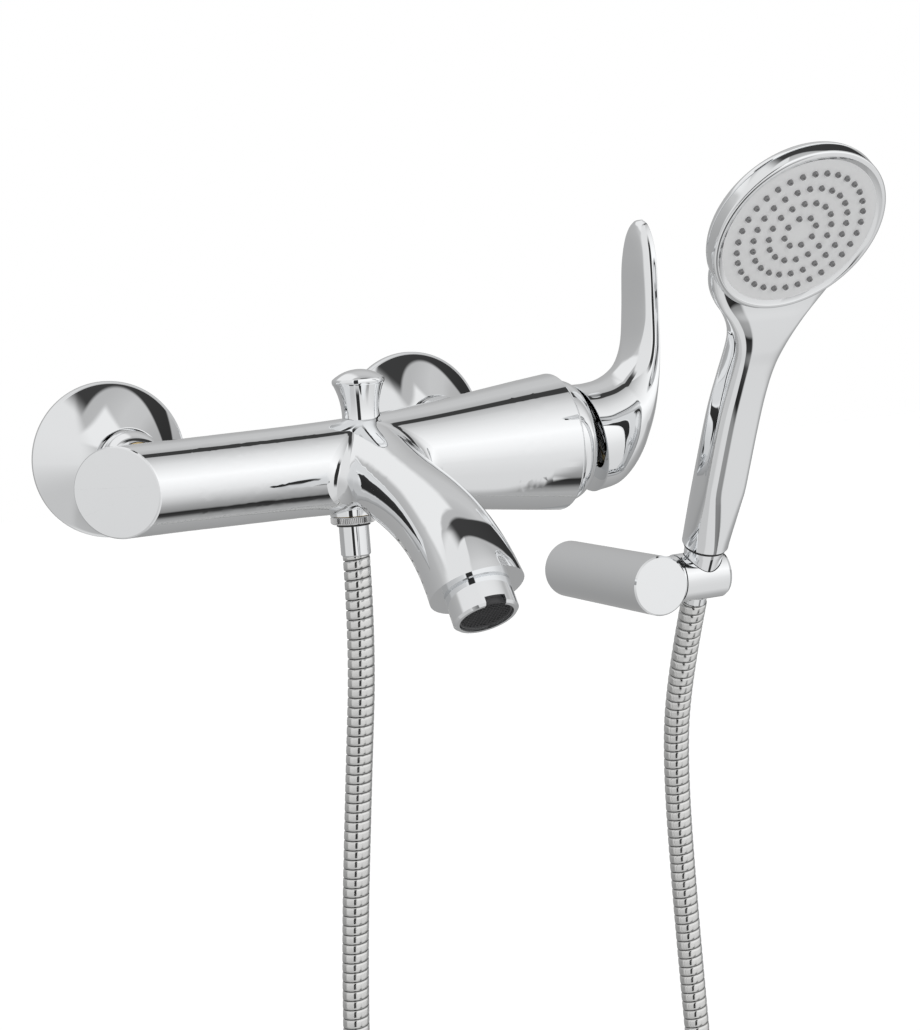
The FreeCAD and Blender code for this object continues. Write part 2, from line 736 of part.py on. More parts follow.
def socket():
    start = tilt_centre - X * (socket_length / 2)
    solid = revolve_points([(0, 0), (socket_r, 0), (socket_r, socket_length - 2.2),
                            (socket_r - 0.9, socket_length - 0.7), (socket_r - 3.0, socket_length),
                            (0, socket_length)], start, X, Z)
    solid = solid.cut(cone(gap))
    solid = solid.cut(cylinder(nut_bottom_r + gap, on_handle(nut_bottom_s + 0.5), -handle_up, 12.0))
    solid = solid.cut(cylinder(nut_top_r + gap, on_handle(nut_top_s - 3.0), handle_up, 8.0))
    return solid.cut(cylinder(pivot_r, start - X, X, bolt_end_x - start.x + 1))


bolt_start_x = holder_x + 5.0
bolt_end_x = socket_x - nut_top_r - 1.4


def pivot_bolt():
    """Cross bolt, fast in the socket and turning in the arm; its nut is inside the arm."""
    start = Vector(bolt_start_x, socket_y, holder_z)
    return cylinder(pivot_r, start, X, bolt_end_x - bolt_start_x)


def pivot_nut():
    start = Vector(bolt_start_x + 1.0, socket_y, holder_z)
    return ring(pivot_r + 2.4, pivot_r, start, X, 2.6)


# Hand shower

face_angle = math.radians(head_tilt)
face_out = handle_front * math.cos(face_angle) - handle_up * math.sin(face_angle)
face_up = handle_up * math.cos(face_angle) + handle_front * math.sin(face_angle)
face_centre = on_handle(head_s, head_n)

handle_stations = [(handle_start_s, 0.0, 0.0, handle_r - 0.2, handle_r - 0.2), (45.0, 0.0, 0.0, handle_r, handle_r),
                   (85.0, 0.0, 0.0, handle_r - 0.5, handle_r - 0.5), (118.0, 0.0, 0.0, handle_neck_r, handle_neck_r),
                   (138.0, 1.2, 4.0, 10.6, handle_neck_r - 0.4), (154.0, 3.4, 9.0, 16.0, 8.6),
                   (168.0, 6.4, 12.0, 23.0, 7.8)]


def handle_loft(inset):
    wires = []
    for s, n, turn, half_width, half_thick in handle_stations:
        angle = math.radians(turn)
        thick_dir = handle_front * math.cos(angle) - handle_up * math.sin(angle)
        wires.append(ellipse_wire(on_handle(s, n), X, half_width - inset, thick_dir, half_thick - inset))
    return Part.makeLoft(wires, True, False)


def head_shell(inset):
    """The head's outside behind the face: skirt and domed back."""
    def at(radius, back):
        return face_centre + X * radius - face_out * back

    outer = head_r - inset
    skirt = Part.Arc(at(outer, 1.0), at(outer - 0.4, head_skirt * 0.6), at(outer - 3.0, head_skirt + 2.5))
    dome = cap_arc(at, outer - 3.0, head_skirt + 2.5, head_depth - inset)
    edges = [Part.makeLine(at(0, 0), at(outer, 0)), Part.makeLine(at(outer, 0), at(outer, 1.0)),
             skirt.toShape(), dome.toShape(), Part.makeLine(at(0, head_depth - inset), at(0, 0))]
    return revolve_edges(edges, face_centre, face_out)


def handset_body():
    outside = head_shell(0).fuse(handle_loft(0))
    hollow = head_shell(handset_wall).fuse(handle_loft(handset_wall))
    solid = outside.cut(hollow)
    solid = solid.cut(cylinder(head_r + 5, face_centre - face_out * rim_depth, face_out, rim_depth + 5))
    floor = cylinder(handle_r - 0.5, on_handle(handle_start_s), handle_up, 12.0)
    solid = solid.fuse(floor)
    solid = solid.cut(cylinder(stem_r, on_handle(handle_start_s - 1), handle_up, 9.0))
    return solid.cut(cylinder(stem_bore_r, on_handle(handle_start_s - 1), handle_up, 20.0))


def head_rim():
    profile = [(plate_r + 0.1, 0.6), (head_r - 1.2, 0), (head_r - 0.2, 0.8), (head_r, 2.0), (head_r, rim_depth),
               (plate_r - 2.0, rim_depth), (plate_r - 2.0, 3.6), (plate_r + 0.1, 3.6)]
    return revolve_points(profile, face_centre, face_out * -1, X)


def nozzle_places():
    places = []
    for number in range(1, 5):
        count = 8 * number
        for step in range(count):
            angle = 2 * math.pi * (step + 0.5) / count
            reach = nozzle_ring_step * number
            places.append(face_centre + X * (reach * math.cos(angle)) + face_up * (reach * math.sin(angle)))
    return places


def face_plate():
    disc = cylinder(plate_r, face_centre - face_out * 3.6, face_out, 2.6)
    holes = [cylinder(nozzle_r, place - face_out * 5.0, face_out, 6.0) for place in nozzle_places()]
    return disc.cut(Part.makeCompound(holes))


def nozzle_mat():
    """Rubber sheet behind the plate with a nozzle through each hole."""
    sheet = cylinder(plate_r - 4.0, face_centre - face_out * 5.2, face_out, 1.6)
    nozzles = []
    for place in nozzle_places():
        nozzles.append(Part.makeCone(nozzle_r, nozzle_r - 0.35, 4.2, place - face_out * 3.8, face_out))
    return sheet.fuse(nozzles)


def seam_ring():
    start = on_handle(handle_start_s - 1.6)
    return ring(handle_r - 0.6, stem_r, start, handle_up, 1.6)


def handset_stem():
    """Threaded tail of the hand shower that the conical nut screws on."""
    start = on_handle(nut_top_s - 9.0)
    return ring(stem_r, stem_bore_r, start, handle_up, handle_start_s + 8.0 - nut_top_s + 9.0)


def cone_nut():
    grip = cylinder(nut_top_r, on_handle(nut_top_s), handle_up, handle_start_s - 1.6 - nut_top_s - 0.1)
    solid = cone(0).fuse(grip)
    solid = solid.cut(cylinder(stem_r, on_handle(nut_top_s - 10.5), handle_up, 30.0))
    return solid.cut(cylinder(nut_bottom_r - 1.6, on_handle(nut_bottom_s - 1), handle_up, 16.0))


def top_washer():
    return ring(stem_r - 0.1, stem_bore_r, on_handle(nut_top_s - 10.5), handle_up, 1.5)


def ferrule_top():
    """Sleeve on the hose's upper end, held in the conical nut by its collar."""
    sleeve = cylinder(nut_bottom_r - 1.8, on_handle(-14.0), handle_up, nut_top_s - 10.5 + 14.0)
    return sleeve.cut(cylinder(3.4, on_handle(-8.0), handle_up, 30.0))


def break_surface(radius):
    return cylinder(radius, tilt_centre - X * 30, X, 60)


def hose_tail():
    """First stretch of hose under the sleeve; it tilts with the socket."""
    tube = cylinder(hose_r, on_handle(-14.0), -handle_up, 20.0)
    return tube.common(break_surface(hose_break_r))


# Hose: route points from the mixer's outlet to the hand shower

hose_points = [Vector(outlet_x, body_y, ferrule_bottom_z), Vector(93.5, -57.0, -82.0),
               Vector(88.5, -50.0, -145.0), Vector(81.0, -42.0, -238.0), Vector(76.5, -38.0, -346.0),
               Vector(80.0, -40.0, -455.0), Vector(98.0, -42.0, -520.0), Vector(144.0, -44.0, -560.0),
               Vector(204.0, -44.0, -561.0), Vector(246.0, -42.0, -524.0), Vector(262.0, -39.0, -463.0),
               Vector(265.0, -36.0, -355.0), Vector(262.0, -36.0, -245.0), Vector(259.0, -41.0, -165.0),
               on_handle(-58.0), on_handle(-14.0)]


def hose_path():
    """Straight runs joined by tangent arcs; prints each arc's radius."""
    edges = []
    start = hose_points[0]
    radii = []
    for before, corner, after in zip(hose_points, hose_points[1:], hose_points[2:]):
        back = before - corner
        ahead = after - corner
        shorter = min(back.Length, ahead.Length)
        turn = math.pi - back.getAngle(ahead)
        cut = 0.45 * shorter
        radius = cut / math.tan(turn / 2)
        radii.append(round(radius))
        enter = corner + Vector(back).normalize() * cut
        leave = corner + Vector(ahead).normalize() * cut
        middle_dir = (Vector(back).normalize() + Vector(ahead).normalize()).normalize()
        sagitta = radius / math.cos(turn / 2) - radius
        edges.append(Part.LineSegment(start, enter).toShape())
        edges.append(Part.Arc(enter, corner + middle_dir * sagitta, leave).toShape())
        start = leave
    edges.append(Part.LineSegment(start, hose_points[-1]).toShape())
    print("hose arc radii", radii)
    return Part.Wire(edges)


def hose():
    path = hose_path()
    section = circle_wire(hose_points[0], Z, hose_r)
    tube = path.makePipeShell([section], True, False)
    expected = math.pi * hose_r ** 2 * path.Length
    print("hose length", round(path.Length, 1), "volume ratio", round(tube.Volume / expected, 4))
    return tube.cut(break_surface(hose_break_r + gap))


def main():
    save(body_casting(), "body_casting")
    for side, x in (("left", 0.0), ("right", inlet_spacing)):
        save(union(x), "union_" + side)
        save(escutcheon(x), "escutcheon_" + side)
        save(union_nut(x), "union_nut_" + side)
        save(tail(x), "inlet_tail_" + side)
    save(Part.makeCompound([washer(0.0), washer(inlet_spacing)]), "inlet_washers")
    pieces = [(diverter_bush, "diverter_bush"), (diverter_knob, "diverter_knob"), (diverter_rod, "diverter_rod"),
              (diverter_plug, "diverter_plug"), (aerator_housing, "aerator_housing"),
              (aerator_insert, "aerator_insert"), (aerator_seal, "aerator_seal"),
              (cartridge_housing, "cartridge_housing"), (fixed_disc, "fixed_disc"), (moving_disc, "moving_disc"),
              (carrier, "carrier"), (cross_pin, "cross_pin"), (lever_bar, "lever_bar"),
              (retaining_nut, "retaining_nut"), (collar_ring, "collar_ring"), (lever_handle, "lever_handle"),
              (lever_grub, "lever_grub"), (lever_plug, "lever_plug"), (outlet_nipple, "outlet_nipple"),
              (hose_ring, "hose_ring"), (outlet_washer, "outlet_washer"), (ferrule_low, "ferrule_low"),
              (hose, "hose"), (hose_tail, "hose_tail"), (holder_plate, "holder_plate"),
              (holder_tube, "holder_tube"), (holder_cap, "holder_cap"), (holder_grub, "holder_grub"),
              (socket, "socket"), (pivot_bolt, "pivot_bolt"), (pivot_nut, "pivot_nut"),
              (handset_body, "handset_body"), (head_rim, "head_rim"), (face_plate, "face_plate"),
              (nozzle_mat, "nozzle_mat"), (seam_ring, "seam_ring"), (handset_stem, "handset_stem"),
              (cone_nut, "cone_nut"), (top_washer, "top_washer"), (ferrule_top, "ferrule_top")]
    for make, name in pieces:
        shape = make()
        save(shape, name)
        print(name, len(shape.Solids), round(shape.Volume), shape.isValid())


main()
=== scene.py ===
import math

import bmesh
import bpy
from mathutils import Matrix, Vector


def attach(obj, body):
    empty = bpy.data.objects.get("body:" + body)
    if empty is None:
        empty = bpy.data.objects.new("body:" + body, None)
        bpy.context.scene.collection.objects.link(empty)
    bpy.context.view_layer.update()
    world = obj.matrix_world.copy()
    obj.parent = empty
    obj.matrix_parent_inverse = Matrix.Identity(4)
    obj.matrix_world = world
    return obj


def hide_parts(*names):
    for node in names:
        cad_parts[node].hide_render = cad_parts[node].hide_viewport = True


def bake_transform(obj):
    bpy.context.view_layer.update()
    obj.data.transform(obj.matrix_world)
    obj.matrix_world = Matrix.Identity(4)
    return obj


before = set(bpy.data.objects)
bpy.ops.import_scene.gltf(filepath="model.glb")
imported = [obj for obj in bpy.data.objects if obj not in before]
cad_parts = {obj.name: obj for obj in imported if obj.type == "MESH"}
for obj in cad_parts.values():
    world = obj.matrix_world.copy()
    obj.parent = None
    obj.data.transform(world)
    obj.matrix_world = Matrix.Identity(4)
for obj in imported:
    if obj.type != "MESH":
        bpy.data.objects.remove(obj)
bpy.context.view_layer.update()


# Camera: stands in front of the wall, left of the mixer and a little above it.

camera_place = (-0.272, -0.993, 0.084)
yaw = math.radians(24.1)
pitch = math.radians(6.3)
roll = math.radians(-4.6)
look = Vector((math.sin(yaw) * math.cos(pitch), math.cos(yaw) * math.cos(pitch), -math.sin(pitch)))
level = Vector((math.cos(yaw), -math.sin(yaw), 0))
upright = level.cross(look)
right = math.cos(roll) * level + math.sin(roll) * upright
up = -math.sin(roll) * level + math.cos(roll) * upright

lens = bpy.data.cameras.new("photo_camera")
lens.sensor_fit = "HORIZONTAL"
lens.sensor_width = 36
lens.lens = 87.73
camera = bpy.data.objects.new("photo_camera", lens)
camera.matrix_world = Matrix.Translation(camera_place) @ Matrix(
    ((right.x, up.x, -look.x), (right.y, up.y, -look.y), (right.z, up.z, -look.z))).to_4x4()
bpy.context.scene.collection.objects.link(camera)
bpy.context.scene.camera = camera
bpy.context.scene.view_settings.view_transform = "Standard"


# Shower hose: a rubber tube in a wound strip of bright metal, with a flat band in each turn of 4.5 mm.
# It hangs in a loop from the mixer's outlet to the conical nut under the hand shower, and its upper half
# is a second piece that is joined to no body. A thinner stretch inside its top end comes out with the hand shower.

hose_radius = 0.0062
groove_depth = 0.0010
slack_length = 0.040
slack_radius = 0.0050
slack_groove_depth = 0.0005
band_pitch = 0.0045
steps_per_band = 24
band_step = band_pitch / steps_per_band
tilt_centre = Vector((0.259, -0.077, -0.070))
handle_up = Vector((0, -0.43837, 0.89879))


def on_handle(along):
    """A point on the hand shower's axis, counted in metres up from the socket's tilting bolt."""
    return tilt_centre + handle_up * along


hose_route = [
    (0.0940, -0.057, -0.0412), (0.0935, -0.057, -0.082), (0.0885, -0.050, -0.145), (0.081, -0.042, -0.238),
    (0.0765, -0.038, -0.346), (0.080, -0.040, -0.455), (0.098, -0.042, -0.520), (0.144, -0.044, -0.560),
    (0.204, -0.044, -0.561), (0.246, -0.042, -0.524), (0.262, -0.039, -0.463), (0.265, -0.036, -0.355),
    (0.262, -0.036, -0.245), (0.259, -0.041, -0.165), on_handle(-0.058), on_handle(-0.014)]

route_curve = bpy.data.curves.new("hose_route", "CURVE")
route_curve.dimensions = "3D"
route_curve.resolution_u = 40
route_spline = route_curve.splines.new("NURBS")
route_spline.points.add(len(hose_route) - 1)
for point, place in zip(route_spline.points, hose_route):
    point.co = (*place, 1)
route_spline.order_u = 3
route_spline.use_endpoint_u = True
route_object = bpy.data.objects.new("hose_route", route_curve)
route_mesh = bpy.data.meshes.new_from_object(route_object)
route = [vertex.co.copy() for vertex in route_mesh.vertices]
bpy.data.objects.remove(route_object)


def along_route(points, spacing):
    """Evenly spaced places on the route, each with two sides square to it that never twist."""
    places = []
    side = Vector((1, 0, 0))
    left_over = 0.0
    for start, end in zip(points, points[1:]):
        run = end - start
        if run.length < 1e-9:
            continue
        direction = run.normalized()
        side = (side - direction * side.dot(direction)).normalized()
        reach = left_over
        while reach < run.length:
            places.append((start + run * (reach / run.length), side, direction.cross(side)))
            reach += spacing
        left_over = reach - run.length
    return places


def add_piece(name, body, smooth=True):
    mesh = bpy.data.meshes.new(name)
    body.to_mesh(mesh)
    body.free()
    if smooth:
        mesh.shade_smooth()
    piece = bpy.data.objects.new(name, mesh)
    bpy.context.scene.collection.objects.link(piece)
    return piece


def wound_hose(name, places, radius, depth):
    """A strip wound round the places: each of its turns is a flat band between two narrow grooves."""
    around = 24
    # Each point of a turn: its step along the turn, and its share of the groove's depth.
    band_shape = [(0, 1.0), (1, 0.6), (2, 0.12), (7, 0.0), (17, 0.0), (22, 0.12), (23, 0.6)]
    last = len(places) - 1
    bands = last // steps_per_band + 2
    rows = [(band * steps_per_band + step, share) for band in range(-1, bands) for step, share in band_shape]
    body = bmesh.new()
    bmesh.ops.create_grid(body, x_segments=len(rows) - 1, y_segments=around, size=0.5)
    in_groove = body.verts.layers.float.new("groove")
    for vertex in body.verts:
        step, share = rows[round((vertex.co.x + 0.5) * (len(rows) - 1))]
        column = round((vertex.co.y + 0.5) * around)
        place, side, other = places[min(max(step + column * steps_per_band // around, 0), last)]
        turn = 2 * math.pi * column / around
        vertex.co = place + (radius - depth * share) * (math.cos(turn) * side + math.sin(turn) * other)
        # The groove share also sets how much painted shade the material puts there.
        vertex[in_groove] = share
    bmesh.ops.remove_doubles(body, verts=body.verts, dist=1e-6)
    bmesh.ops.dissolve_degenerate(body, edges=body.edges, dist=1e-6)
    bmesh.ops.recalc_face_normals(body, faces=body.faces)
    return add_piece(name, body)


def finish(name, colour, metal, shine, grain, relief, tint=0.04):
    """A surface whose gloss, tone and relief vary a little; grain is the size of the variation in metres."""
    paint = bpy.data.materials.new(name)
    paint.use_nodes = True
    nodes = paint.node_tree.nodes
    links = paint.node_tree.links
    shader = nodes["Principled BSDF"]
    shader.inputs["Metallic"].default_value = metal
    place = nodes.new("ShaderNodeTexCoord")
    noise = nodes.new("ShaderNodeTexNoise")
    noise.inputs["Scale"].default_value = 1 / grain
    noise.inputs["Detail"].default_value = 3
    gloss = nodes.new("ShaderNodeMapRange")
    gloss.inputs["To Min"].default_value = shine[0]
    gloss.inputs["To Max"].default_value = shine[1]
    tone = nodes.new("ShaderNodeMix")
    tone.data_type = "RGBA"
    tone.inputs["A"].default_value = (*[part * (1 - tint) for part in colour], 1)
    tone.inputs["B"].default_value = (*colour, 1)
    bump = nodes.new("ShaderNodeBump")
    bump.inputs["Strength"].default_value = relief
    bump.inputs["Distance"].default_value = 0.0002
    links.new(place.outputs["Object"], noise.inputs["Vector"])
    links.new(noise.outputs["Fac"], gloss.inputs["Value"])
    links.new(noise.outputs["Fac"], tone.inputs["Factor"])
    links.new(noise.outputs["Fac"], bump.inputs["Height"])
    links.new(gloss.outputs["Result"], shader.inputs["Roughness"])
    links.new(tone.outputs["Result"], shader.inputs["Base Color"])
    links.new(bump.outputs["Normal"], shader.inputs["Normal"])
    return paint


def darken_grooves(paint, shadow):
    """Mixes the shadow colour into the finish where the mesh's groove attribute is high."""
    nodes = paint.node_tree.nodes
    links = paint.node_tree.links
    shader = nodes["Principled BSDF"]
    unshaded_colour = shader.inputs["Base Color"].links[0].from_socket
    groove = nodes.new("ShaderNodeAttribute")
    groove.attribute_name = "groove"
    # This mix paints shade into the base colour where the groove attribute is high.
    groove_shade_mix = nodes.new("ShaderNodeMix")
    groove_shade_mix.data_type = "RGBA"
    groove_shade_mix.inputs["B"].default_value = (*shadow, 1)
    links.new(groove.outputs["Fac"], groove_shade_mix.inputs["Factor"])
    links.new(unshaded_colour, groove_shade_mix.inputs["A"])
    links.new(groove_shade_mix.outputs["Result"], shader.inputs["Base Color"])


hose_places = along_route(route, band_step)
half_way = len(hose_places) // steps_per_band // 2 * steps_per_band
slack_start = len(hose_places) - round(slack_length / band_step)
hose_lower = wound_hose("hose_lower", hose_places[:half_way + 1], hose_radius, groove_depth)
hose_upper = wound_hose("hose_upper", hose_places[half_way:], hose_radius, groove_depth)
hose_slack = wound_hose("hose_slack", hose_places[slack_start:], slack_radius, slack_groove_depth)

hose_strip = finish("wound_steel_strip", (0.80, 0.80, 0.79), 1, (0.10, 0.20), 0.002, 0.05)
# Painted shade: the hose's grooves get a near-black base colour, standing in for the shade that falls in them.
darken_grooves(hose_strip, (0.10, 0.10, 0.10))
for piece in (hose_lower, hose_upper, hose_slack):
    piece.data.materials.append(hose_strip)

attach(hose_lower, "mixer")
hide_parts("hose")
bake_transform(hose_upper)
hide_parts("hose_tail")
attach(hose_slack, "handset")


# Studio: a white floor far below the object, and a pale room round it with a large light in front.
# Seen from the object, the light ends in dark gaps above and below, and the wall side is grey.

floor_height = -0.6
floor_half_width = 6
floor_shape = bmesh.new()
bmesh.ops.create_grid(floor_shape, x_segments=1, y_segments=1, size=floor_half_width)
bmesh.ops.translate(floor_shape, verts=floor_shape.verts, vec=(0, 0, floor_height))
floor = add_piece("floor", floor_shape, False)
floor.visible_glossy = False

floor_paint = bpy.data.materials.new("white_floor")
floor_paint.use_nodes = True
nodes = floor_paint.node_tree.nodes
links = floor_paint.node_tree.links
nodes.clear()
floor_out = nodes.new("ShaderNodeOutputMaterial")
floor_matt = nodes.new("ShaderNodeBsdfDiffuse")
floor_matt.inputs["Color"].default_value = (0.85, 0.85, 0.85, 1)
floor_glow = nodes.new("ShaderNodeEmission")
floor_glow.inputs["Strength"].default_value = 0.45
floor_sum = nodes.new("ShaderNodeAddShader")
floor_mix = nodes.new("ShaderNodeMixShader")
ray = nodes.new("ShaderNodeLightPath")
links.new(floor_matt.outputs[0], floor_sum.inputs[0])
links.new(floor_glow.outputs[0], floor_sum.inputs[1])
links.new(ray.outputs["Is Camera Ray"], floor_mix.inputs[0])
links.new(floor_matt.outputs[0], floor_mix.inputs[1])
links.new(floor_sum.outputs[0], floor_mix.inputs[2])
links.new(floor_mix.outputs[0], floor_out.inputs["Surface"])
floor.data.materials.append(floor_paint)

world = bpy.data.worlds.new("studio")
bpy.context.scene.world = world
world.use_nodes = True
nodes = world.node_tree.nodes
links = world.node_tree.links
nodes.clear()


def sums(operation, first, second=None):
    """A Math node; each side is a number or another node's output."""
    node = nodes.new("ShaderNodeMath")
    node.operation = operation
    for socket, value in zip(node.inputs, (first, second)):
        if isinstance(value, (int, float)):
            socket.default_value = value
        elif value is not None:
            links.new(value, socket)
    return node.outputs[0]


def tone_ramp(value, stops):
    """A ramp from (position, grey) stops."""
    ramp = nodes.new("ShaderNodeValToRGB")
    elements = ramp.color_ramp.elements
    elements[0].position, elements[1].position = stops[0][0], stops[-1][0]
    for position, grey in stops[1:-1]:
        elements.new(position)
    for element, (position, grey) in zip(elements, stops):
        element.color = (grey, grey, grey, 1)
    links.new(value, ramp.inputs["Fac"])
    return ramp.outputs["Color"]


def blend_tones(share, first, second):
    node = nodes.new("ShaderNodeMix")
    node.data_type = "RGBA"
    links.new(share, node.inputs["Factor"])
    links.new(first, node.inputs["A"])
    links.new(second, node.inputs["B"])
    return node.outputs["Result"]


def rising(value, low, high):
    """0 below low, 1 above high, and a smooth rise between them."""
    node = nodes.new("ShaderNodeMapRange")
    node.interpolation_type = "SMOOTHSTEP"
    node.inputs["From Min"].default_value = low
    node.inputs["From Max"].default_value = high
    links.new(value, node.inputs["Value"])
    return node.outputs["Result"]


def window(value, start, end, soft):
    """1 between start and end, falling to 0 over the soft width outside them."""
    return sums("MULTIPLY", rising(value, start - soft, start), sums("SUBTRACT", 1, rising(value, end, end + soft)))


where = nodes.new("ShaderNodeTexCoord")
parts = nodes.new("ShaderNodeSeparateXYZ")
links.new(where.outputs["Generated"], parts.inputs[0])
east, north, height = parts.outputs
outward = sums("MULTIPLY", north, -1)
turned = sums("ADD", sums("DIVIDE", sums("ARCTAN2", height, outward), 2 * math.pi), 0.5)
sideways = sums("ARCTAN2", east, outward)
near_level = sums("SUBTRACT", 1, rising(sums("ABSOLUTE", height), 0.55, 0.80))


def room_tones(stops):
    """The room's tones by the angle in degrees: 0 is straight out from the wall, 90 up, 180 into the wall."""
    return tone_ramp(turned, [((degrees + 180) / 360, grey) for degrees, grey in stops])


# Below the level of the light, the room is pale at both sides and has a dark gap in its middle.
upper_room = [(-16, 0.85), (0, 0.98), (22, 1.12), (40, 1.0), (62, 0.82), (78, 0.62), (88, 0.50), (104, 0.52),
              (118, 0.62), (135, 0.60), (150, 0.50), (165, 0.46), (180, 0.42)]
back_low = [(-180, 0.42), (-165, 0.38), (-150, 0.33)]
middle_low = [(-105, 0.40), (-90, 0.44), (-80, 0.32), (-72, 0.05), (-63, 0.02), (-59, 0.28), (-45, 0.42), (-29, 0.67)]
side_low = [(-105, 0.46), (-90, 0.60), (-75, 0.74), (-45, 0.76), (-29, 0.80)]
middle_room = room_tones(back_low + middle_low + upper_room)
side_room = room_tones(back_low + side_low + upper_room)
tones = blend_tones(window(east, 0.27, 0.455, 0.03), side_room, middle_room)

# A large lamp is high behind on the left, and the left side of the room is pale.
bright = tone_ramp(height, [(0, 0.90), (1, 0.92)])
high_left = sums("MULTIPLY", rising(height, 0.50, 0.60), sums("SUBTRACT", 1, rising(east, 0.05, 0.20)))
tones = blend_tones(sums("MULTIPLY", high_left, rising(turned, 0.792, 0.80)), tones, bright)
left_side = tone_ramp(rising(height, -0.6, 0.6), [(0, 0.60), (0.5, 0.80), (1, 0.84)])
tones = blend_tones(window(sideways, math.radians(-104), math.radians(-52), math.radians(12)), tones, left_side)

# One dark gap stands upright between the left side and the light, and one lies overhead.
dark = tone_ramp(height, [(0, 0.03), (1, 0.05)])
left_gap = window(sideways, math.radians(-40), math.radians(-23), math.radians(3))
tones = blend_tones(sums("MULTIPLY", left_gap, near_level), tones, dark)
bend = sums("MULTIPLY", sums("MAXIMUM", east, 0), sums("SUBTRACT", 0.75, sums("MULTIPLY", height, 0.75)))
overhead = window(sums("SUBTRACT", north, bend), -0.02, 0.16, 0.03)
overhead = sums("MULTIPLY", overhead, sums("MULTIPLY", rising(height, -0.10, 0.08), rising(east, -0.45, -0.12)))
tones = blend_tones(overhead, tones, dark)

tent = nodes.new("ShaderNodeBackground")
links.new(tones, tent.inputs["Color"])
white_room = nodes.new("ShaderNodeBackground")
white_room.inputs["Color"].default_value = (1, 1, 1, 1)
seen = nodes.new("ShaderNodeLightPath")
straight = sums("MAXIMUM", seen.outputs["Is Camera Ray"], seen.outputs["Is Transmission Ray"])
choose = nodes.new("ShaderNodeMixShader")
world_out = nodes.new("ShaderNodeOutputWorld")
links.new(straight, choose.inputs[0])
links.new(tent.outputs[0], choose.inputs[1])
links.new(white_room.outputs[0], choose.inputs[2])
links.new(choose.outputs[0], world_out.inputs["Surface"])


# Body: one hollow brass casting, ground and polished before it is nickel and chromium plated.
# Its left end is a flat face that is turned to the front, and a round port at each inlet meets a union nut.

axis_y, axis_z = -0.057, -0.0006
joint_x = 0.017
hollow_radius = 0.018
end_x = -0.01375
end_turn = math.radians(56)
end_out = Vector((-math.sin(end_turn), -math.cos(end_turn), 0))
end_bevel = 0.0007


def cad_copy(node_name, name, reshape):
    """A copy of a node's mesh that keeps its smooth normals while reshape works on it."""
    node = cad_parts[node_name]
    source = node.data.copy()
    normals = source.attributes.new("true_normal", "FLOAT_VECTOR", "CORNER")
    normals.data.foreach_set("vector", [part for corner in source.corner_normals for part in corner.vector])
    body = bmesh.new()
    body.from_mesh(source)
    bpy.data.meshes.remove(source)
    bmesh.ops.transform(body, matrix=node.matrix_world, verts=body.verts)
    bmesh.ops.remove_doubles(body, verts=body.verts, dist=1e-6)
    reshape(body, body.loops.layers.float_vector["true_normal"])
    piece = add_piece(name, body)
    normals = piece.data.attributes["true_normal"]
    piece.data.normals_split_custom_set([corner.vector.copy() for corner in normals.data])
    piece.data.attributes.remove(piece.data.attributes["true_normal"])
    piece.data.materials.clear()
    return piece


def slanted_end(body, normals):
    """Takes the barrel's left end off and draws the barrel out to a flat end turned to the front."""
    bmesh.ops.bisect_plane(body, geom=body.verts[:] + body.edges[:] + body.faces[:], dist=1e-7,
                           plane_co=(joint_x, 0, 0), plane_no=(1, 0, 0), clear_inner=True)
    cut = [edge for edge in body.edges if edge.is_boundary
           and all(abs(vertex.co.x - joint_x) < 1e-5 for vertex in edge.verts)]
    rim = [edge for edge in cut if all(math.hypot(vertex.co.y - axis_y, vertex.co.z - axis_z) > hollow_radius
                                       for vertex in edge.verts)]
    drawn = bmesh.ops.extrude_edge_only(body, edges=rim)["geom"]
    for vertex in [item for item in drawn if isinstance(item, bmesh.types.BMVert)]:
        vertex.co.x = end_x - (vertex.co.y - axis_y) * end_out.y / end_out.x
    for face in [item for item in drawn if isinstance(item, bmesh.types.BMFace)]:
        for loop in face.loops:
            loop[normals] = Vector((0, loop.vert.co.y - axis_y, loop.vert.co.z - axis_z)).normalized()
    lip = [item for item in drawn if isinstance(item, bmesh.types.BMEdge) and item.is_boundary]
    bmesh.ops.contextual_create(body, geom=lip)
    bmesh.ops.bevel(body, geom=lip, offset=end_bevel, segments=2, profile=0.5, affect="EDGES", material=-1)
    bmesh.ops.holes_fill(body, edges=[edge for edge in body.edges if edge.is_boundary], sides=0)
    bmesh.ops.recalc_face_normals(body, faces=body.faces)
    for face in body.faces:
        middle = face.calc_center_median()
        rise = (middle - Vector((end_x, axis_y, 0))).dot(end_out)
        if rise > -end_bevel - 0.00002 and middle.x < joint_x - 0.001:
            for loop in face.loops:
                loop[normals] = face.normal


polished_chrome = finish("polished_chrome", (0.88, 0.89, 0.90), 1, (0.008, 0.02), 0.006, 0.002, 0.01)
body_shell = cad_copy("body_casting", "body_shell", slanted_end)
body_shell.data.materials.append(polished_chrome)
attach(body_shell, "mixer")
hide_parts("body_casting")


def turned_piece(body, profile, placing, around):
    """Spins a line of (radius, height) points round Z, then moves the result to its place."""
    corners = [body.verts.new((radius, 0, height)) for radius, height in profile]
    edges = [body.edges.new(pair) for pair in zip(corners, corners[1:])]
    bmesh.ops.spin(body, geom=corners + edges, cent=(0, 0, 0), axis=(0, 0, 1), angle=2 * math.pi, steps=around,
                   use_merge=True)
    bmesh.ops.remove_doubles(body, verts=body.verts, dist=1e-7)
    bmesh.ops.recalc_face_normals(body, faces=body.faces)
    bmesh.ops.transform(body, matrix=placing, verts=body.verts)


def settle(piece, sharp_angle, paint, slot, rider, *nodes):
    """Gives a piece its crisp corners, finish and body, in the place of its nodes; its slot is not used."""
    piece.data.set_sharp_from_angle(angle=math.radians(sharp_angle))
    piece.data.materials.append(paint)
    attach(piece, rider)
    for node in nodes:
        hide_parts(node)
    return piece


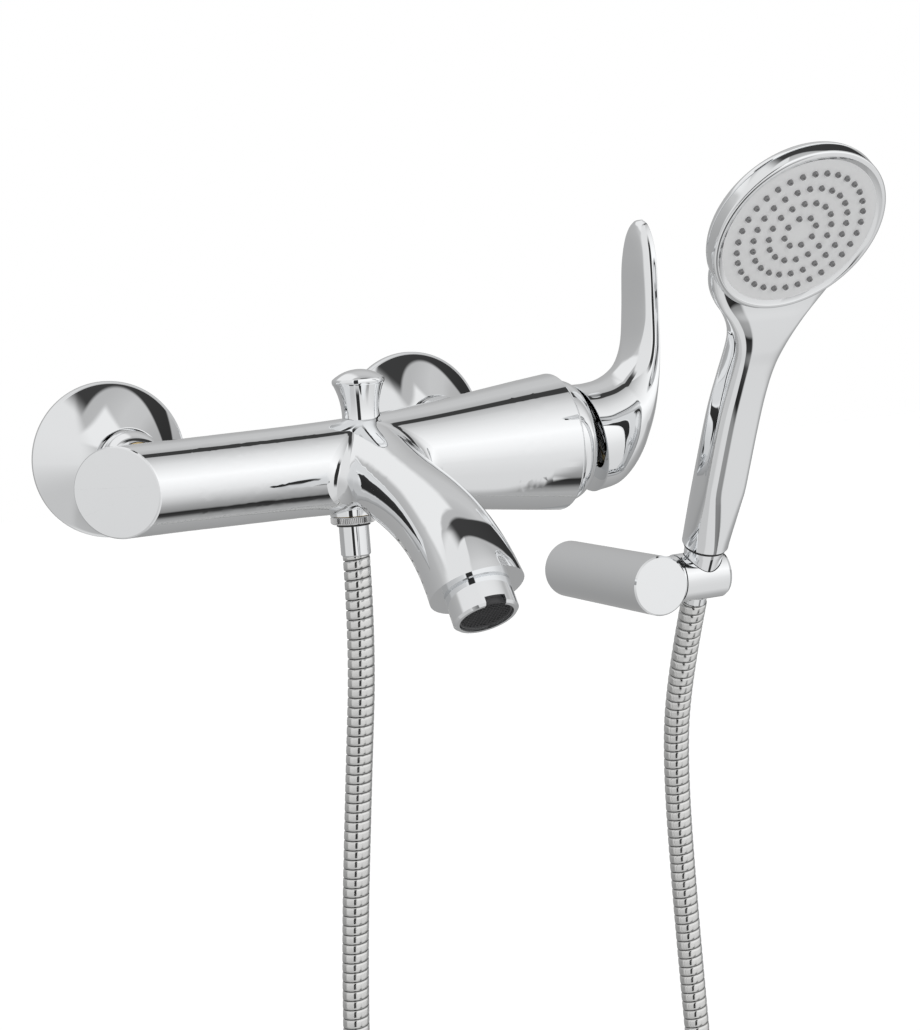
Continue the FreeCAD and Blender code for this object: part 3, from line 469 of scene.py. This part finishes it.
def turned_part(name, profile, placing, around, paint, slot, rider, *nodes):
    """A piece turned from a line of (radius, height) points."""
    body = bmesh.new()
    turned_piece(body, profile, placing, around)
    return settle(add_piece(name, body), 28, paint, slot, rider, *nodes)


def arc(start, middle, end, steps):
    """Points on the circle through three (radius, height) points, from start to end."""
    (ax, ay), (bx, by), (cx, cy) = start, middle, end
    turn = 2 * (ax * (by - cy) + bx * (cy - ay) + cx * (ay - by))
    a_square, b_square, c_square = ax * ax + ay * ay, bx * bx + by * by, cx * cx + cy * cy
    ux = (a_square * (by - cy) + b_square * (cy - ay) + c_square * (ay - by)) / turn
    uy = (a_square * (cx - bx) + b_square * (ax - cx) + c_square * (bx - ax)) / turn
    radius = math.hypot(ax - ux, ay - uy)
    first, last = math.atan2(ay - uy, ax - ux), math.atan2(cy - uy, cx - ux)
    sweep = (last - first + math.pi) % (2 * math.pi) - math.pi
    turns = [first + sweep * step / steps for step in range(steps + 1)]
    return [(ux + radius * math.cos(turn), uy + radius * math.sin(turn)) for turn in turns]


from_wall = Matrix(((1, 0, 0), (0, 0, -1), (0, 1, 0))).to_4x4()
port_height = 0.010
port_profile = ([(0.0097, 0.0368), (0.0138, 0.0368), (0.0142, 0.0372)]
                + arc((0.0142, 0.0384), (0.0132, 0.0432), (0.0098, 0.0482), 12) + [(0.0097, 0.0368)])
turned_part("left_port", port_profile, Matrix.Translation((0, 0, port_height)) @ from_wall, 96, polished_chrome,
            "chromed_brass", "mixer", "body_casting")


# Lever: a leaf-shaped blade on a round hub, cast in one piece of zinc and plated like the body.
# A steel bar from the cartridge enters its hub, and a grub screw under a grey plug holds it there.
# A chromed ring covers the gap to the body.

def dress(paint, *names):
    for name in names:
        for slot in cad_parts[name].material_slots:
            slot.material = paint


def between(stations, steps):
    """The stations with smooth ones added between each two."""
    ends = [[2 * q - r for q, r in zip(stations[0], stations[1])],
            [2 * q - r for q, r in zip(stations[-1], stations[-2])]]
    row = [ends[0], *stations, ends[1]]
    smooth = []
    for before, start, end, after in zip(row, row[1:], row[2:], row[3:]):
        for step in range(steps):
            t = step / steps
            smooth.append([(2 * q + (r - p) * t + (2 * p - 5 * q + 4 * r - v) * t * t
                            + (3 * q - p - 3 * r + v) * t ** 3) / 2
                           for p, q, r, v in zip(before, start, end, after)])
    return smooth + [list(stations[-1])]


def skin(name, rings, paint, slot, rider, *nodes):
    """A closed skin through rings of points."""
    around = len(rings[0])
    body = bmesh.new()
    bmesh.ops.create_grid(body, x_segments=len(rings) - 1, y_segments=around, size=0.5)
    for vertex in body.verts:
        ring = rings[round((vertex.co.x + 0.5) * (len(rings) - 1))]
        vertex.co = ring[round((vertex.co.y + 0.5) * around) % around]
    bmesh.ops.remove_doubles(body, verts=body.verts, dist=1e-7)
    bmesh.ops.holes_fill(body, edges=[edge for edge in body.edges if edge.is_boundary], sides=0)
    bmesh.ops.recalc_face_normals(body, faces=body.faces)
    return settle(add_piece(name, body), 40, paint, slot, rider, *nodes)


# Each station in mm: the inner point's x and height, the outer point's, and half the width.
lever_stations = [(208.5, 25.5, 216.0, -25.5, 25.5), (216.0, 25.6, 228.0, -22.5, 25.2),
                  (224.0, 26.8, 238.0, -12.0, 24.0), (231.0, 29.8, 245.0, 4.0, 21.5),
                  (236.8, 35.0, 248.6, 22.5, 18.6), (240.2, 43.5, 250.4, 41.5, 16.2),
                  (241.8, 58.0, 251.6, 58.0, 15.0), (243.0, 76.0, 252.6, 76.0, 14.1),
                  (244.2, 85.0, 252.9, 85.0, 12.8), (245.6, 92.0, 252.9, 92.5, 10.2),
                  (247.4, 96.5, 252.5, 97.5, 7.0), (249.0, 99.0, 251.9, 99.8, 3.0)]
lever_around = 96
steps_between_stations = 14
# The widest line lies in the middle of the hub, and moves to the blade's outer side over this height in mm.
side_shift, shift_from, shift_over = 0.68, -5, 45
# The hollow for the finger is in the blade's inner side.
finger_depth = 0.0019
finger_aside, finger_height = 0.0015, 0.066
finger_half_width, finger_half_height = 0.0118, 0.034
blade_foot = 0.03
hub_bore_share, hub_bore_depth = 0.63, 0.010
lip_share, lip_depth = 0.975, 0.0004
lever_rings = []
for inner_x, inner_up, outer_x, outer_up, half_width in between(lever_stations, steps_between_stations):
    middle = Vector((inner_x + outer_x, 0, inner_up + outer_up)) / 2000 + Vector((0, axis_y, axis_z))
    out = Vector((outer_x - inner_x, 0, outer_up - inner_up)) / 2000
    shift = side_shift * min(max((outer_up - shift_from) / shift_over, 0), 1)
    ring = []
    for step in range(lever_around):
        turn = 2 * math.pi * step / lever_around
        reach = shift + math.cos(turn) * (1 + shift if math.cos(turn) < 0 else 1 - shift)
        point = middle + out * reach + Vector((0, half_width / 1000 * math.sin(turn), 0))
        if math.cos(turn) < 0 and point.z > blade_foot:
            spread = (((point.y - axis_y + finger_aside) / finger_half_width) ** 2
                      + ((point.z - finger_height) / finger_half_height) ** 2)
            point.x += finger_depth * max(0, 1 - spread)
        ring.append(point)
    lever_rings.append(ring)
hub_middle = sum(lever_rings[0], Vector()) / lever_around
hub_bore = [[hub_middle + (point - hub_middle) * hub_bore_share + Vector((depth, 0, 0)) for point in lever_rings[0]]
            for depth in (hub_bore_depth, 0.0)]
lip = [hub_middle + (point - hub_middle) * lip_share - Vector((lip_depth, 0, 0)) for point in lever_rings[0]]
skin("lever_skin", hub_bore + [lip] + lever_rings, polished_chrome, "chromed_zinc", "lever", "lever_handle")

bright_steel = finish("bright_steel", (0.62, 0.62, 0.63), 1, (0.18, 0.30), 0.002, 0.08, 0.08)
grey_plastic = finish("grey_plastic", (0.50, 0.51, 0.53), 0, (0.35, 0.50), 0.0015, 0.12, 0.06)
dress(polished_chrome, "collar_ring")
dress(bright_steel, "cross_pin", "lever_bar", "lever_grub")
dress(grey_plastic, "lever_plug")


# Wall unions and escutcheons: bare brass screws into the wall, and a chromed flared cover hides it.
# A chromed nut, round at the nose and hexagonal behind, pulls each inlet tail against its rubber washer.

inlet_spacing = 0.150
bell = ([(0.0333, 0.0), (0.0355, 0.0), (0.0355, 0.0022), (0.0350, 0.0027)]
        + arc((0.0346, 0.0029), (0.02445, 0.01655), (0.0158, 0.0312), 40)
        + [(0.0155, 0.0318), (0.0151, 0.0318), (0.0148, 0.0312)]
        + arc((0.0146, 0.0305), (0.0232, 0.0158), (0.0333, 0.0014), 40) + [(0.0333, 0.0)])
round_nose = [(0.0112, 0.0350), (0.0136, 0.0350), (0.0142, 0.0344), (0.0142, 0.0262), (0.0112, 0.0262),
              (0.0112, 0.0350)]
hexagon = [(0.0112, 0.0262), (0.0167, 0.0262), (0.0167, 0.0205), (0.0134, 0.0205), (0.0112, 0.0262)]
for side, inlet in (("left", 0.0), ("right", inlet_spacing)):
    at_inlet = Matrix.Translation((inlet, 0, port_height)) @ from_wall
    turned_part("cover_" + side, bell, at_inlet, 144, polished_chrome, "chromed_brass", "mixer",
                "escutcheon_" + side)
    turned_part("nut_nose_" + side, round_nose, at_inlet, 96, polished_chrome, "chromed_brass", "mixer",
                "union_nut_" + side)
    turned_part("nut_hexagon_" + side, hexagon, at_inlet, 6, polished_chrome, "chromed_brass", "mixer",
                "union_nut_" + side)

bare_brass = finish("bare_brass", (0.72, 0.56, 0.30), 1, (0.22, 0.38), 0.003, 0.12, 0.12)
soft_rubber = finish("black_rubber", (0.035, 0.035, 0.035), 0, (0.55, 0.70), 0.0006, 0.25, 0.2)
dress(bare_brass, "union_left", "union_right", "inlet_tail_left", "inlet_tail_right")
dress(soft_rubber, "inlet_washers")


# Diverter: a chromed brass knob on a steel rod, which a brass bush guides through the top of the body.
# A rubber plug at the rod's lower end closes the way to the spout when the knob is lifted.

dress(polished_chrome, "diverter_knob")
dress(bright_steel, "diverter_rod")
dress(bare_brass, "diverter_bush")
dress(soft_rubber, "diverter_plug")


# Cartridge: two fired ceramic discs in a housing of moulded white plastic, turned and slid by a carrier.
# It sits in the body's right end, and a brass nut holds it there.

moulded_white = finish("moulded_white_plastic", (0.86, 0.86, 0.84), 0, (0.35, 0.50), 0.0015, 0.12, 0.05)
fired_ceramic = finish("fired_ceramic", (0.90, 0.89, 0.86), 0, (0.12, 0.22), 0.001, 0.04, 0.04)
dress(moulded_white, "cartridge_housing", "carrier")
dress(fired_ceramic, "fixed_disc", "moving_disc")
dress(bare_brass, "retaining_nut")


# Aerator: a chromed brass sleeve screwed into the spout on a rubber seal, with a notch for its wrench.
# A fine grid of dark plastic, moulded in one piece with its ring and its back, fills the sleeve's mouth.

mouth_centre = Vector((0.102, -0.168, -0.0473))
mouth_turn = math.radians(56)
mouth_out = Vector((0, -math.cos(mouth_turn), -math.sin(mouth_turn)))
grid_radius = 0.0112
whole_mesh_share = 0.97
grid_meshes = 14
grid_bar = 0.00042
grid_forward = 0.0116
facing_mouth = (Matrix.Translation(mouth_centre + mouth_out * grid_forward)
                @ mouth_out.to_track_quat("Z", "X").to_matrix().to_4x4())


def half_turned(body, normals):
    """Turns the sleeve half round its own axis, so that its wrench notch faces the front."""
    half = Matrix.Rotation(math.pi, 4, mouth_out)
    bmesh.ops.transform(body, verts=body.verts,
                        matrix=Matrix.Translation(mouth_centre) @ half @ Matrix.Translation(-mouth_centre))
    for face in body.faces:
        for loop in face.loops:
            loop[normals] = half.to_3x3() @ loop[normals]


aerator_sleeve = cad_copy("aerator_housing", "aerator_sleeve", half_turned)
aerator_sleeve.data.materials.append(polished_chrome)
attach(aerator_sleeve, "mixer")
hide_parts("aerator_housing")

grid_shape = bmesh.new()
bmesh.ops.create_grid(grid_shape, x_segments=grid_meshes, y_segments=grid_meshes, size=grid_radius)
outside = [face for face in grid_shape.faces
           if face.calc_center_median().length > grid_radius * whole_mesh_share]
bmesh.ops.delete(grid_shape, geom=outside, context="FACES")
bmesh.ops.wireframe(grid_shape, faces=grid_shape.faces, thickness=grid_bar, offset=0, use_replace=True,
                    use_boundary=True, use_even_offset=True)
bmesh.ops.transform(grid_shape, matrix=facing_mouth, verts=grid_shape.verts)
aerator_grid = add_piece("aerator_grid", grid_shape, False)
ring_shape = bmesh.new()
turned_piece(ring_shape, [(0, -0.0016), (0.0100, -0.0016), (0.0104, 0.0001), (0.0108, 0.0004), (0.0113, 0.0004),
                          (0.01158, 0.0001), (0.01158, -0.0034), (0, -0.0034)], facing_mouth, 64)
aerator_ring = add_piece("aerator_ring", ring_shape)
grid_plastic = finish("dark_grid_plastic", (0.045, 0.045, 0.048), 0, (0.30, 0.45), 0.001, 0.1, 0.1)
for piece in (aerator_grid, aerator_ring):
    piece.data.materials.append(grid_plastic)
    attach(piece, "mixer")
    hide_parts("aerator_insert")
dress(soft_rubber, "aerator_seal")


# Hose end at the mixer: a chromed brass ring, knurled for the fingers, over a smooth chromed ferrule.
# The knurl is fine and upright, rolled between two small chamfers. The ring screws onto a brass nipple.

knurl_count = 72
knurl_depth = 0.00032
outlet_x = 0.094
ring_placing = Matrix.Translation((outlet_x, axis_y, -0.0284))
knurled_shape = bmesh.new()
turned_piece(knurled_shape, [(0.0052, 0.0020), (0.0094, 0.0020), (0.00985, 0.0023), (0.0102, 0.0027),
                             (0.0102, 0.0049), (0.00985, 0.0053), (0.0094, 0.0055), (0.0052, 0.0055),
                             (0.0052, 0.0020)], ring_placing, 2 * knurl_count)
in_groove = knurled_shape.verts.layers.float.new("groove")
for vertex in knurled_shape.verts:
    arm = Vector((vertex.co.x - outlet_x, vertex.co.y - axis_y, 0))
    if arm.length > 0.0100 and round(math.atan2(arm.y, arm.x) * knurl_count / math.pi) % 2:
        vertex.co -= arm.normalized() * knurl_depth
        vertex[in_groove] = 1
knurled_ring = add_piece("knurled_ring", knurled_shape, False)
knurled_chrome = finish("knurled_chrome", (0.90, 0.90, 0.90), 1, (0.16, 0.26), 0.001, 0.05, 0.05)
# Painted shade: the knurl's grooves get a darker base colour, standing in for the shade that falls in them.
darken_grooves(knurled_chrome, (0.22, 0.22, 0.22))
knurled_ring.data.materials.append(knurled_chrome)
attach(knurled_ring, "mixer")
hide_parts("hose_ring")
turned_part("ferrule_sleeve", [(0.0036, -0.0127), (0.0063, -0.0127), (0.0068, -0.0122), (0.0068, 0.0012),
                               (0.0063, 0.0019), (0.0053, 0.0019), (0.0053, 0.0), (0.0036, 0.0),
                               (0.0036, -0.0127)],
            ring_placing, 96, polished_chrome, "chromed_brass", "mixer", "ferrule_low")
dress(bare_brass, "outlet_nipple")
dress(soft_rubber, "outlet_washer")


# Wall holder: a chromed tube slides over a brass spigot on the wall, held by a grub screw, closed by a disc.
# The socket tilts on a steel bolt at its side, and the conical nut of the hose sits in it.

dress(bare_brass, "holder_plate")
dress(polished_chrome, "holder_tube", "holder_cap", "socket", "cone_nut", "ferrule_top")
dress(bright_steel, "holder_grub", "pivot_bolt", "pivot_nut")
dress(soft_rubber, "top_washer")


# Hand shower: a chromed plastic shell, whose flat-fronted handle widens into the neck under the head.
# A bright ring holds a satin plate in the head, and a black ring seals the handle's screwed end.

head_along, head_forward = 0.187, 0.026
handle_front = Vector((0, -0.89879, -0.43837))
face_centre = on_handle(head_along) + handle_front * head_forward
face_turn = math.radians(26 + 12.8)
face_out = Vector((0, -math.cos(face_turn), -math.sin(face_turn)))
face_up = Vector((0, -math.sin(face_turn), math.cos(face_turn)))
towards_face = face_out.to_track_quat("Z", "X").to_matrix().to_4x4()
at_face = Matrix.Translation(face_centre) @ towards_face

# Each station in mm: height along the handle, shift to the front, lean in degrees, half width, half thickness.
handset_stations = [(18, 0, 0, 11.0, 11.0), (45, 0, 0, 11.3, 11.2), (85, 0.4, 0, 11.2, 10.9),
                    (105, 2.2, 3, 11.0, 10.4), (118, 4.5, 5, 11.5, 9.9), (128, 7.0, 8, 13.2, 9.3),
                    (136, 8.6, 10, 16.2, 8.6), (143, 9.2, 12, 20.5, 7.8), (149, 9.2, 12.8, 25.5, 7.0),
                    (156, 10.0, 12.8, 30.0, 6.6), (164, 11.8, 12.8, 33.0, 6.0), (172, 13.6, 12.8, 34.0, 5.0)]
handle_around = 96
steps_between_stations = 10
# The handle is round at its screwed end, and its front is squared off over this height in mm.
squareness, square_from, square_over = 0.58, 20, 30
handle_rings = []
for along, forward, lean, half_width, half_thick in between(handset_stations, steps_between_stations):
    lean_turn = math.radians(lean)
    thick = handle_front * math.cos(lean_turn) - handle_up * math.sin(lean_turn)
    middle = on_handle(along / 1000) + handle_front * forward / 1000
    power = 1 - squareness * min(max((along - square_from) / square_over, 0), 1)
    ring = []
    for step in range(handle_around):
        turn = 2 * math.pi * step / handle_around
        wide, deep = math.cos(turn), math.sin(turn)
        if deep > 0:
            wide, deep = math.copysign(abs(wide) ** power, wide), deep ** power
        ring.append(middle + Vector((half_width / 1000 * wide, 0, 0)) + thick * half_thick / 1000 * deep)
    handle_rings.append(ring)
bore_start, bore_end, bore_share = 0.018, 0.038, 0.62
bore = [[on_handle(along) + (point - on_handle(bore_start)) * bore_share for point in handle_rings[0]]
        for along in (bore_end, bore_start)]
skin("handset_shell", bore + handle_rings, polished_chrome, "chromed_plastic", "handset", "handset_body")

turned_part("head_back", [(0, -0.0061), (0.0402, -0.0061), (0.0408, -0.0064)]
            + arc((0.0410, -0.0067), (0.0403, -0.0088), (0.0376, -0.0112), 10)
            + arc((0.0372, -0.0114), (0.0200, -0.0201), (0, -0.0230), 24) + [(0, -0.0061)],
            at_face, 160, polished_chrome, "chromed_plastic", "handset", "handset_body")
turned_part("face_ring", [(0.0366, -0.0010), (0.0386, -0.0002), (0.0388, 0.0), (0.0397, 0.0), (0.0402, -0.0001),
                          (0.0406, -0.0003), (0.0409, -0.0007), (0.0410, -0.0012), (0.0410, -0.0058),
                          (0.0366, -0.0058), (0.0366, -0.0010)],
            at_face, 160, polished_chrome, "chromed_plastic", "handset", "head_rim")

satin_plate = finish("satin_plate", (0.93, 0.935, 0.94), 0, (0.28, 0.36), 0.0008, 0.05, 0.02)
dress(satin_plate, "face_plate")
dress(polished_chrome, "handset_stem")
dress(soft_rubber, "seam_ring")


# Nozzles: eighty soft tips on one sheet of grey silicone behind the plate, in rings of 8, 16, 24 and 32.
# Each tip is pushed through its hole in the plate and has a small hole for its jet.

ring_spacing = 0.00747
tip_profile = [(0, -0.0006), (0.00035, -0.0005), (0.0004, 0.0003), (0.0008, 0.0005), (0.00112, 0.0002),
               (0.00124, -0.0005), (0.00127, -0.0030)]
sheet_profile = [(0, -0.0037), (0.0346, -0.0037), (0.0346, -0.0051), (0, -0.0051)]
rubber_shape = bmesh.new()


def add_turned(profile, placing, around):
    """Adds one turned form to the rubber sheet's shape."""
    body = bmesh.new()
    turned_piece(body, profile, placing, around)
    mesh = bpy.data.meshes.new("turned_form")
    body.to_mesh(mesh)
    body.free()
    rubber_shape.from_mesh(mesh)
    bpy.data.meshes.remove(mesh)


for ring_number in range(1, 5):
    for step in range(8 * ring_number):
        turn = 2 * math.pi * (step + 0.5) / (8 * ring_number)
        place = face_centre + ring_spacing * ring_number * (math.cos(turn) * Vector((1, 0, 0))
                                                            + math.sin(turn) * face_up)
        add_turned(tip_profile, Matrix.Translation(place) @ towards_face, 12)
add_turned(sheet_profile, at_face, 48)
nozzles = add_piece("nozzle_tips", rubber_shape)
nozzle_rubber = finish("grey_silicone", (0.27, 0.27, 0.275), 0, (0.12, 0.22), 0.0008, 0.12, 0.1)
nozzles.data.materials.append(nozzle_rubber)
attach(nozzles, "handset")
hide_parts("nozzle_mat")
